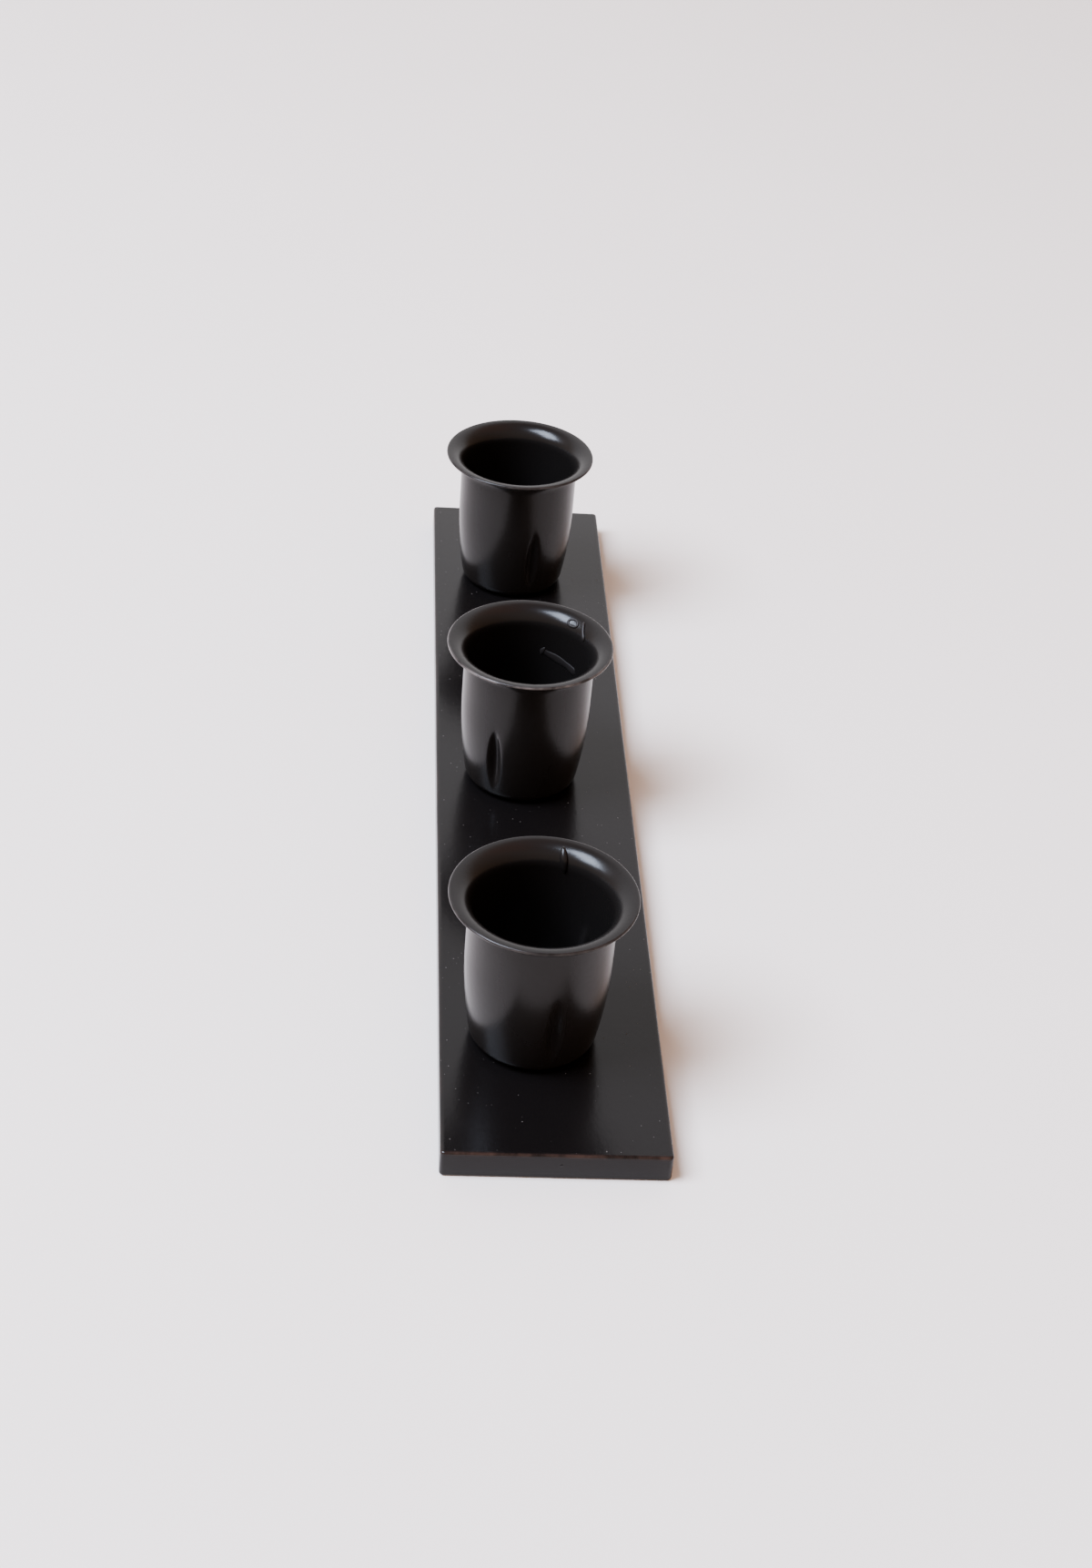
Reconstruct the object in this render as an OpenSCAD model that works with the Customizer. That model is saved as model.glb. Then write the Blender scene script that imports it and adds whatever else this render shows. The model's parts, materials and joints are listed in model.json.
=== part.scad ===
// Tabletop candelabra: three drawn sheet-steel candle cups in a row on a flat steel bar.
// Each cup is held by one pan-head screw and a washer, from inside the cup down into the bar.
// Frame: long axis on X, +Z up, origin at the middle of the bar's underside.

/* [Bar] */
// Length of the flat bar
bar_l = 208; // [200:1:260]
// Width of the flat bar
bar_w = 37; // [37:0.5:50]
// Thickness of the flat bar
bar_t = 5; // [5:0.5:8]
// Width of the broken edge all round the bar
edge_break = 0.4; // [0.2:0.1:0.8]

/* [Cup places] */
// Distance from one cup's axis to the next
cup_pitch = 75; // [60:1:85]
// How far the middle cup stands off the bar's centre line
cup_side = -2.45; // [-2.45:0.05:2.45]
// Extra side step of the two end cups, near cup one way and far cup the other
cup_stagger = 0.6; // [0:0.1:0.6]
// Bearing of the near cup's first flute, from +X towards +Y
near_turn = 13; // [-60:1:60]
// Bearing of the middle cup's first flute
middle_turn = -30; // [-60:1:60]
// Bearing of the far cup's first flute
far_turn = 17; // [-60:1:60]

/* [Cup] */
// Height of a cup from its floor to its lip
cup_h = 29.5; // [28:0.5:45]
// Bore of the straight upper wall, for a standard dinner candle
cup_bore = 23; // [22:0.1:24]
// Thickness of the drawn sheet
sheet_t = 0.6; // [0.5:0.1:0.8]
// Radius under the turned-out lip
lip_r = 2.9; // [2:0.1:2.9]
// Width of the flat between the lip's curl and its round edge
lip_flat = 0.1; // [0.1:0.1:0.4]
// Height above the floor where the wall starts to draw in
taper_h = 17.8; // [17.8:0.1:19]
// Radius of the gentle curve that draws the lower wall in
taper_r = 92; // [80:1:110]
// Radius of the rounded foot
foot_r = 2.5; // [2:0.1:4]

/* [Grip flutes] */
// Number of pressed-in flutes round each cup
flutes = 3; // [2:1:4]
// Depth of a flute at its middle
flute_depth = 1.5; // [0.9:0.05:1.7]
// Radius of the tool's edge, which sets how wide a flute is
flute_edge_r = 1.7; // [1.2:0.1:2.2]
// Height of a flute's deepest point above the cup's floor
flute_mid_h = 7.6; // [7:0.1:7.8]
// Half the height over which a flute runs out into the straight wall
flute_reach = 8.4; // [7:0.1:8.4]

/* [Screw and washer] */
// Nominal diameter of the screw's thread
screw_d = 4; // [3:0.5:4]
// Length of the screw under its head
screw_l = 6; // [5:0.5:6]
// Diameter of the pan head
head_d = 8; // [7:0.5:8]
// Height of the pan head
head_h = 2.4; // [2:0.1:2.4]
// Width of the driving slot
slot_w = 1.2; // [0.8:0.1:1.2]
// Depth of the driving slot
slot_depth = 1; // [0.8:0.1:1.2]
// Diameter of the plain washer
washer_d = 9; // [9:0.5:11]
// Thickness of the plain washer
washer_t = 0.8; // [0.5:0.1:1]

/* [Hidden] */
$fn = 96;

body_r = cup_bore / 2 + sheet_t;
bore_r = cup_bore / 2;
lip_curl_z = cup_h - sheet_t - lip_r;
clearance_r = screw_d / 2 + 0.15;
thread_pitch = 0.7;
thread_depth = 0.43;
thread_turns = floor((screw_l - 0.4) / thread_pitch);
head_round_r = 1.3;
blade_r = (flute_reach * flute_reach + flute_depth * flute_depth) / (2 * flute_depth);
ridge_bite = 0.2;
foot_proud = 0.03;
wall_proud = 0.01;
eps = 0.01;

black = [0.09, 0.088, 0.088];
zinc = [0.66, 0.67, 0.68];

// where the cups stand: near end on +X, far end on -X
near_at = [cup_pitch, cup_side - cup_stagger, bar_t];
middle_at = [0, cup_side, bar_t];
far_at = [-cup_pitch, cup_side + cup_stagger, bar_t];

// a rectangle with its four corners cut off by c
module broken_rect(l, w, c) {
    x = l / 2;
    y = w / 2;
    polygon([
        [-x + c, -y], [x - c, -y], [x, -y + c], [x, y - c],
        [x - c, y], [-x + c, y], [-x, y - c], [-x, -y + c]
    ]);
}

// a bar with every edge broken: what three broken outlines have in common
module broken_bar(l, w, t, c) {
    intersection() {
        linear_extrude(t) broken_rect(l, w, c);
        translate([-l / 2, 0, t / 2]) rotate([90, 0, 90]) linear_extrude(l) broken_rect(w, t, c);
        translate([0, w / 2, t / 2]) rotate([90, 0, 0]) linear_extrude(w) broken_rect(l, t, c);
    }
}

// tapped hole right through the bar, with its mouths countersunk
module tapped_hole() {
    mouth = 0.4;
    r = screw_d / 2;
    translate([0, 0, -bar_t - 1]) cylinder(r = r, h = bar_t + 2);
    translate([0, 0, -mouth]) cylinder(r1 = r, r2 = r + mouth + eps, h = mouth + eps);
    translate([0, 0, -bar_t - eps]) cylinder(r1 = r + mouth + eps, r2 = r, h = mouth + eps);
}

module base_bar() {
    color(black) difference() {
        broken_bar(bar_l, bar_w, bar_t, edge_break);
        for (at = [near_at, middle_at, far_at]) translate(at) tapped_hole();
    }
}

// Half outline of a solid of the cup's form, up to height top: straight wall of radius r,
// drawn in below taper_h by a wide arc, with a rounded foot of radius f standing at height z0.
// Both arcs stand out by a hair, so that they cross their neighbours instead of only touching.
module cup_half(r, wide_r, f, z0, top) {
    foot_z = z0 + f;
    drop = taper_h - foot_z;
    foot_x = r - wide_r + sqrt((wide_r - f) * (wide_r - f) - drop * drop) + foot_proud;
    touch_z = taper_h - wide_r * drop / (wide_r - f);
    difference() {
        translate([0, z0]) square([r, top - z0]);
        difference() {
            translate([foot_x, z0 - 1]) square([r + 1 - foot_x, taper_h - z0 + 1]);
            translate([r - wide_r + wall_proud, taper_h]) circle(r = wide_r, $fn = 720);
        }
        difference() {
            translate([foot_x, z0 - 1]) square([r + 1 - foot_x, touch_z - z0 + 1]);
            translate([foot_x, foot_z]) circle(r = f);
        }
    }
}

// the lip: a quarter curl outwards, then a short flat with a round edge
module lip_half() {
    curl_x = body_r + lip_r;
    curl_size = lip_r + sheet_t;
    flat_x = curl_x + lip_flat;
    intersection() {
        translate([curl_x, lip_curl_z]) difference() {
            circle(r = curl_size);
            circle(r = lip_r);
        }
        translate([bore_r, lip_curl_z]) square([curl_size, curl_size]);
    }
    translate([curl_x, cup_h - sheet_t]) square([flat_x - curl_x, sheet_t]);
    translate([flat_x, cup_h - sheet_t / 2]) circle(r = sheet_t / 2, $fn = 24);
}

// space inside the cup, grown into the wall by g
module cup_space(g) {
    rotate_extrude() cup_half(bore_r + g, taper_r - sheet_t + g, foot_r - sheet_t + g, sheet_t - g, lip_curl_z);
}

// the round-edged blade that presses a flute, grown by g
module flute_blade(g) {
    edge_r = flute_edge_r + g;
    ring_r = blade_r + g - edge_r;
    translate([body_r - flute_depth + blade_r, 0, flute_mid_h]) rotate([90, 0, 0]) {
        rotate_extrude($fn = 240) translate([ring_r, 0]) circle(r = edge_r, $fn = 48);
        translate([0, 0, -edge_r]) cylinder(r = ring_r, h = 2 * edge_r, $fn = 240);
    }
}

module flute_set(g) {
    for (i = [0:flutes - 1]) rotate([0, 0, i * 360 / flutes]) flute_blade(g);
}

// one drawn cup, standing at the origin with its first flute on +X
module candle_cup() {
    difference() {
        union() {
            rotate_extrude() {
                difference() {
                    cup_half(body_r, taper_r, foot_r, 0, lip_curl_z);
                    cup_half(bore_r, taper_r - sheet_t, foot_r - sheet_t, sheet_t, lip_curl_z + 1);
                }
                lip_half();
            }
            intersection() {
                flute_set(sheet_t);
                cup_space(ridge_bite);
            }
        }
        flute_set(0);
        translate([0, 0, -1]) cylinder(r = clearance_r, h = sheet_t + 2);
    }
}

module cup_near() {
    color(black) translate(near_at) rotate([0, 0, near_turn]) candle_cup();
}

module cup_middle() {
    color(black) translate(middle_at) rotate([0, 0, middle_turn]) candle_cup();
}

module cup_far() {
    color(black) translate(far_at) rotate([0, 0, far_turn]) candle_cup();
}

// half outline of a slotted pan-head screw, its head standing on height 0
module screw_half() {
    r = screw_d / 2;
    core = r - thread_depth;
    square([head_d / 2, head_h - head_round_r]);
    square([head_d / 2 - head_round_r, head_h]);
    translate([head_d / 2 - head_round_r, head_h - head_round_r]) circle(r = head_round_r, $fn = 32);
    translate([0, -screw_l]) square([core, screw_l]);
    for (i = [0:thread_turns - 1])
        translate([0, -screw_l + 0.2 + i * thread_pitch]) polygon([
            [0, 0], [core, 0], [r, thread_pitch * 0.4], [r, thread_pitch * 0.55], [core, thread_pitch * 0.95],
            [0, thread_pitch * 0.95]
        ]);
}

module cup_screw() {
    difference() {
        rotate_extrude() screw_half();
        translate([-head_d, -slot_w / 2, head_h - slot_depth]) cube([2 * head_d, slot_w, slot_depth + 1]);
    }
}

// place something on the cup's floor, or on the washer when on_washer is 1
module on_floor(at, on_washer) {
    translate(at) translate([0, 0, sheet_t + on_washer * washer_t]) children();
}

module screw_near() {
    color(zinc) on_floor(near_at, 1) rotate([0, 0, 35]) cup_screw();
}

module screw_middle() {
    color(zinc) on_floor(middle_at, 1) rotate([0, 0, 110]) cup_screw();
}

module screw_far() {
    color(zinc) on_floor(far_at, 1) rotate([0, 0, -20]) cup_screw();
}

module cup_washer() {
    difference() {
        cylinder(d = washer_d, h = washer_t);
        translate([0, 0, -1]) cylinder(r = clearance_r, h = washer_t + 2);
    }
}

module washer_near() {
    color(zinc) on_floor(near_at, 0) cup_washer();
}

module washer_middle() {
    color(zinc) on_floor(middle_at, 0) cup_washer();
}

module washer_far() {
    color(zinc) on_floor(far_at, 0) cup_washer();
}

base_bar();
cup_near();
cup_middle();
cup_far();
screw_near();
screw_middle();
screw_far();
washer_near();
washer_middle();
washer_far();
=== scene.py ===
"""A low candelabra: three drawn steel candle cups screwed to a flat bar, all in satin black lacquer.

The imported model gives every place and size. Each class below is one sub-assembly: it holds the sizes
that the frame doesn't give, builds its meshes and dresses them. Lengths in the fields are millimetres,
and everything that Blender gets is in metres.
"""

from __future__ import annotations

import json
import logging
import math
from dataclasses import dataclass, field
from enum import Enum

import bpy
from mathutils import Matrix, Vector, noise
from mathutils.geometry import tessellate_polygon

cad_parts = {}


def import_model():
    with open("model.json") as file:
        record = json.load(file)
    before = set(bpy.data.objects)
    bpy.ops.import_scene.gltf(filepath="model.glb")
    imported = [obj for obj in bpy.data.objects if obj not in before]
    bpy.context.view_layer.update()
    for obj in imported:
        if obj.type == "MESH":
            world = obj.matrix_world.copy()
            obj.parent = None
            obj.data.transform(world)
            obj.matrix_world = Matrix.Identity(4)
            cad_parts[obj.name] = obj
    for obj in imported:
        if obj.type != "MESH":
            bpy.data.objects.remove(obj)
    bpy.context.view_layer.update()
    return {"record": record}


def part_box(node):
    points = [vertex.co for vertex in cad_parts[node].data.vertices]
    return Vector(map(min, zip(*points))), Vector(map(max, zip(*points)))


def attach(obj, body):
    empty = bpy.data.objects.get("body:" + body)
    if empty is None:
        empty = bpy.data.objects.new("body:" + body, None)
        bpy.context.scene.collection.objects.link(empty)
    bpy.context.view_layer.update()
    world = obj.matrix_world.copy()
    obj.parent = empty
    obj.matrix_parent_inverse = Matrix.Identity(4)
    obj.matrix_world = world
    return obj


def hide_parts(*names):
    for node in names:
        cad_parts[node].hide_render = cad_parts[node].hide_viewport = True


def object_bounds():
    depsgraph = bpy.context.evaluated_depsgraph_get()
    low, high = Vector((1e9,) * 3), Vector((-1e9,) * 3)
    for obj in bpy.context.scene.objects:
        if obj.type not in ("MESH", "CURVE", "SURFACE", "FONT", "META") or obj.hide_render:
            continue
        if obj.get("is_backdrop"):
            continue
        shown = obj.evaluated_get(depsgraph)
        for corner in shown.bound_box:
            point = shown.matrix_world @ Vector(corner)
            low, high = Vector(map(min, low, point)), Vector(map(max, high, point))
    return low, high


MM = 0.001
BODY = "root"
WEAR = "wear"
SKIN = "skin"
THREAD = "thread"
BEAD = "bead"
SEAT = "seat"
UV_NAME = "UVMap"
SAME_POINT = 1e-5
MERGE_MM = 0.004
SHARP = 40.0

log = logging.getLogger("candelabra")


class Place(Enum):
    """The three cup places along the bar, named as seen from the end with the worn edge."""

    NEAR = "near"
    MIDDLE = "middle"
    FAR = "far"


def linear(colour: str) -> tuple[float, float, float, float]:
    """Turn an sRGB hex colour into a linear one.

    Args:
        colour: six hex digits after a hash, such as "#1a1918".

    Returns:
        Linear red, green and blue, with an alpha of 1.
    """
    parts = [int(colour[i:i + 2], 16) / 255 for i in (1, 3, 5)]
    red, green, blue = (v / 12.92 if v <= 0.04045 else ((v + 0.055) / 1.055) ** 2.4 for v in parts)
    return red, green, blue, 1.0


def add_node(
    tree: bpy.types.NodeTree, kind: str, links: dict[int | str, object] | None = None, **settings: object
) -> bpy.types.Node:
    """Add one node to a tree, with its settings, its input values and its links.

    Args:
        tree: the node tree that takes the node.
        kind: the node's type, such as "ShaderNodeMath".
        links: for each input, by name or number, a value, an output socket, or a node whose first
            output is meant.
        settings: the node's own properties.

    Returns:
        The new node.
    """
    node = tree.nodes.new(kind)
    for name, value in settings.items():
        setattr(node, name, value)
    for key, value in (links or {}).items():
        source = value.outputs[0] if isinstance(value, bpy.types.Node) else value
        if isinstance(source, bpy.types.NodeSocket):
            tree.links.new(source, node.inputs[key])
        else:
            node.inputs[key].default_value = source
    return node


def direction(bearing: float, rise: float) -> Vector:
    """Return the unit vector at a bearing from +X towards +Y and a rise above level, both in degrees."""
    turn, lift = math.radians(bearing), math.radians(rise)
    return Vector((math.cos(lift) * math.cos(turn), math.cos(lift) * math.sin(turn), math.sin(lift)))


def standing(node: str) -> tuple[Vector, float, float, float]:
    """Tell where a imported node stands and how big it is.

    Args:
        node: the node's name.

    Returns:
        The middle of its underside in metres, then half its length, half its width and its height in
        millimetres.
    """
    low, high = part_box(node)
    foot = Vector(((low.x + high.x) / 2, (low.y + high.y) / 2, low.z))
    return foot, (high.x - low.x) / 2 / MM, (high.y - low.y) / 2 / MM, (high.z - low.z) / MM


# ---------------------------------------------------------------------------------------------
# Outlines and meshes


@dataclass
class Outline:
    """A half outline in millimetres, radius against height, that is turned about an upright axis."""

    points: list[tuple[float, float]] = field(default_factory=list)
    marks: list[dict[str, float]] = field(default_factory=list)

    def add(self, radius: float, height: float, **marks: float) -> None:
        """Add one point with its marks, unless it repeats the last one."""
        if self.points and math.dist(self.points[-1], (radius, height)) < SAME_POINT:
            return
        self.points.append((radius, height))
        self.marks.append(marks)

    def line(self, radius: float, height: float, steps: int = 1, **marks: float) -> None:
        """Draw a straight stretch from the last point, in equal steps.

        Args:
            radius: the stretch's last radius.
            height: the stretch's last height.
            steps: how many equal steps it takes.
            marks: values that every new point carries.
        """
        start_r, start_z = self.points[-1]
        for i in range(1, steps + 1):
            part = i / steps
            self.add(start_r + (radius - start_r) * part, start_z + (height - start_z) * part, **marks)

    def arc(
        self, centre: tuple[float, float], radius: float, start: float, end: float, steps: int, **marks: float
    ) -> None:
        """Draw an arc from one bearing to another.

        Args:
            centre: the arc's centre, radius and height.
            radius: the arc's radius.
            start: the first bearing in degrees, from outwards towards up.
            end: the last bearing in degrees.
            steps: how many equal steps the arc takes.
            marks: values that every point of the arc carries.
        """
        for i in range(steps + 1):
            bearing = math.radians(start + (end - start) * i / steps)
            self.add(centre[0] + radius * math.cos(bearing), centre[1] + radius * math.sin(bearing), **marks)

    def to_mesh(self, name: str) -> bpy.types.Mesh:
        """Return the outline as a string of points, each with its marks as attributes."""
        mesh = bpy.data.meshes.new(name)
        mesh.from_pydata([(r * MM, 0.0, z * MM) for r, z in self.points], [], [])
        for mark in (WEAR, SKIN, THREAD):
            layer = mesh.attributes.new(mark, "FLOAT", "POINT")
            layer.data.foreach_set("value", [marks.get(mark, 0.0) for marks in self.marks])
        return mesh


def new_object(name: str, mesh: bpy.types.Mesh) -> bpy.types.Object:
    """Put a mesh into the scene as an object at the origin."""
    piece = bpy.data.objects.new(name, mesh)
    bpy.context.scene.collection.objects.link(piece)
    return piece


def apply_tree(piece: bpy.types.Object, tree: bpy.types.NodeTree, values: dict[str, object]) -> None:
    """Run a geometry tree on an object and keep only the plain mesh that comes out.

    Args:
        piece: the object whose mesh feeds the tree.
        tree: the geometry tree.
        values: the tree's inputs by name. Each is set by its socket's identifier.
    """
    modifier = piece.modifiers.new("shape", "NODES")
    modifier.node_group = tree
    for item in tree.interface.items_tree:
        if item.item_type == "SOCKET" and item.in_out == "INPUT" and item.name in values:
            modifier[item.identifier] = values[item.name]
    graph = bpy.context.evaluated_depsgraph_get()
    mesh = bpy.data.meshes.new_from_object(piece.evaluated_get(graph))
    piece.modifiers.clear()
    piece.data = mesh
    mesh.name = piece.name


def turn_piece(
    name: str, line: Outline, tree: bpy.types.NodeTree, values: dict[str, object], sharp: float = 0.0
) -> bpy.types.Object:
    """Make a piece by turning an outline with a geometry tree.

    Args:
        name: the piece's name.
        line: the outline.
        tree: a tree of the TurnedTree kind.
        values: the tree's inputs by name, besides the number of points.
        sharp: the angle in degrees past which an edge is drawn sharp, or 0 for a smooth piece.

    Returns:
        The piece, with a plain mesh.
    """
    piece = new_object(name, line.to_mesh(name))
    apply_tree(piece, tree, {"Points": len(line.points), **values})
    if sharp:
        piece.data.set_sharp_from_angle(angle=math.radians(sharp))
    return piece


def set_on(piece: bpy.types.Object, node: str) -> None:
    """Let a finished piece ride on the body and stand for its CAD node.

    Args:
        piece: the finished piece.
        node: the CAD node that it stands for.
    """
    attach(piece, BODY)
    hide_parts(node)
    log.info("%s: %d faces, stands for %s", piece.name, len(piece.data.polygons), node)


# ---------------------------------------------------------------------------------------------
# Geometry trees


def start_tree(name: str, inputs: dict[str, str]) -> bpy.types.NodeTree:
    """Start a geometry tree with a finish as its last input and a mesh as its output.

    Args:
        name: the tree's name.
        inputs: the kind of each input before the finish, such as "Float", by its label.

    Returns:
        The tree, still empty.
    """
    tree = bpy.data.node_groups.new(name, "GeometryNodeTree")
    for label, kind in {**inputs, "Finish": "Material"}.items():
        tree.interface.new_socket(label, in_out="INPUT", socket_type=f"NodeSocket{kind}")
    tree.interface.new_socket("Mesh", in_out="OUTPUT", socket_type="NodeSocketGeometry")
    return tree


def end_tree(tree: bpy.types.NodeTree, mesh: bpy.types.Node, finish: bpy.types.NodeSocket) -> None:
    """Smooth what a tree has made, make it real, dress it and end the tree.

    Args:
        tree: the geometry tree.
        mesh: a node whose first output is the shape.
        finish: the material's socket.
    """
    smooth = add_node(tree, "GeometryNodeSetShadeSmooth", {"Geometry": mesh})
    real = add_node(tree, "GeometryNodeRealizeInstances", {"Geometry": smooth})
    dressed = add_node(tree, "GeometryNodeSetMaterial", {"Geometry": real, "Material": finish})
    add_node(tree, "NodeGroupOutput", {"Mesh": dressed})


class TurnedTree:
    """A geometry tree that turns an outline about the upright axis, with room for what is done to it."""

    usual = {"Outline": "Geometry", "Points": "Int", "Around": "Int", "Turn": "Float", "Centre": "Vector"}

    def __init__(self, name: str, sizes: tuple[str, ...] = ()) -> None:
        """Start the tree.

        Args:
            name: the tree's name.
            sizes: the size inputs that the tree has besides the usual ones.
        """
        self.tree = start_tree(name, {**self.usual, **dict.fromkeys(sizes, "Float")})
        self.inputs = add_node(self.tree, "NodeGroupInput").outputs
        self._turn()

    def add(
        self, kind: str, links: dict[int | str, object] | None = None, **settings: object
    ) -> bpy.types.Node:
        """Add a node to this tree."""
        return add_node(self.tree, kind, links, **settings)

    def _turn(self) -> None:
        """Lay a grid over outline points and bearings, and carry the outline's marks over to it."""
        columns = self.add("ShaderNodeMath", {0: self.inputs["Around"], 1: 1.0}, operation="ADD")
        grid = self.add("GeometryNodeMeshGrid", {"Vertices X": self.inputs["Points"], "Vertices Y": columns})
        index = self.add("GeometryNodeInputIndex")
        share = self.add("ShaderNodeMath", {0: index, 1: columns}, operation="DIVIDE")
        row = self.add("ShaderNodeMath", {0: share}, operation="FLOOR")
        column = self.add("ShaderNodeMath", {0: index, 1: columns}, operation="MODULO")
        bearing = self.add("ShaderNodeMath", {0: column, 1: self.inputs["Around"]}, operation="DIVIDE")
        self.angle = self.add("ShaderNodeMath", {0: bearing, 1: math.tau}, operation="MULTIPLY")
        point = self.add("GeometryNodeInputPosition")
        sampled = self.add(
            "GeometryNodeSampleIndex",
            {"Geometry": self.inputs["Outline"], "Value": point, "Index": row},
            data_type="FLOAT_VECTOR",
        )
        parts = self.add("ShaderNodeSeparateXYZ", {0: sampled}).outputs
        self.radius, self.height = parts["X"], parts["Z"]
        mesh = self.add(
            "GeometryNodeStoreNamedAttribute",
            {"Geometry": grid, "Name": UV_NAME, "Value": grid.outputs["UV Map"]},
            data_type="FLOAT2",
            domain="CORNER",
        )
        self.marks = {}
        for mark in (WEAR, SKIN, THREAD):
            named = self.add("GeometryNodeInputNamedAttribute", {"Name": mark}, data_type="FLOAT")
            self.marks[mark] = self.add(
                "GeometryNodeSampleIndex",
                {"Geometry": self.inputs["Outline"], "Value": named, "Index": row},
                data_type="FLOAT",
            )
        self.mesh = self.add(
            "GeometryNodeStoreNamedAttribute",
            {"Geometry": mesh, "Name": WEAR, "Value": self.marks[WEAR]},
            data_type="FLOAT",
            domain="POINT",
        )

    def finish(
        self, shift: bpy.types.Node, cut: bpy.types.Node | None = None, closed_outline: bool = False
    ) -> bpy.types.NodeTree:
        """Place the turned points, close the seam, and end the tree.

        Args:
            shift: a node whose first output is how far each point moves outwards.
            cut: a mesh, in the shape's own place, that is taken away from it.
            closed_outline: the outline runs clockwise round the wall, so the faces are turned to look out.

        Returns:
            The finished tree.
        """
        radius = self.add("ShaderNodeMath", {0: self.radius, 1: shift}, operation="ADD")
        flat = self.add("ShaderNodeCombineXYZ", {"X": radius, "Z": self.height})
        place = self.add(
            "ShaderNodeVectorRotate", {"Vector": flat, "Angle": self.angle}, rotation_type="Z_AXIS"
        )
        moved = self.add("GeometryNodeSetPosition", {"Geometry": self.mesh, "Position": place})
        closed = self.add("GeometryNodeMergeByDistance", {"Geometry": moved, "Distance": MERGE_MM * MM})
        if closed_outline:
            closed = self.add("GeometryNodeFlipFaces", {"Mesh": closed})
        if cut:
            closed = self.add(
                "GeometryNodeMeshBoolean",
                {"Mesh 1": closed, "Mesh 2": cut},
                operation="DIFFERENCE",
                solver="EXACT",
            )
        spin = self.add("ShaderNodeCombineXYZ", {"Z": self.inputs["Turn"]})
        stood = self.add(
            "GeometryNodeTransform",
            {"Geometry": closed, "Translation": self.inputs["Centre"], "Rotation": spin},
        )
        end_tree(self.tree, stood, self.inputs["Finish"])
        return self.tree


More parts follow.
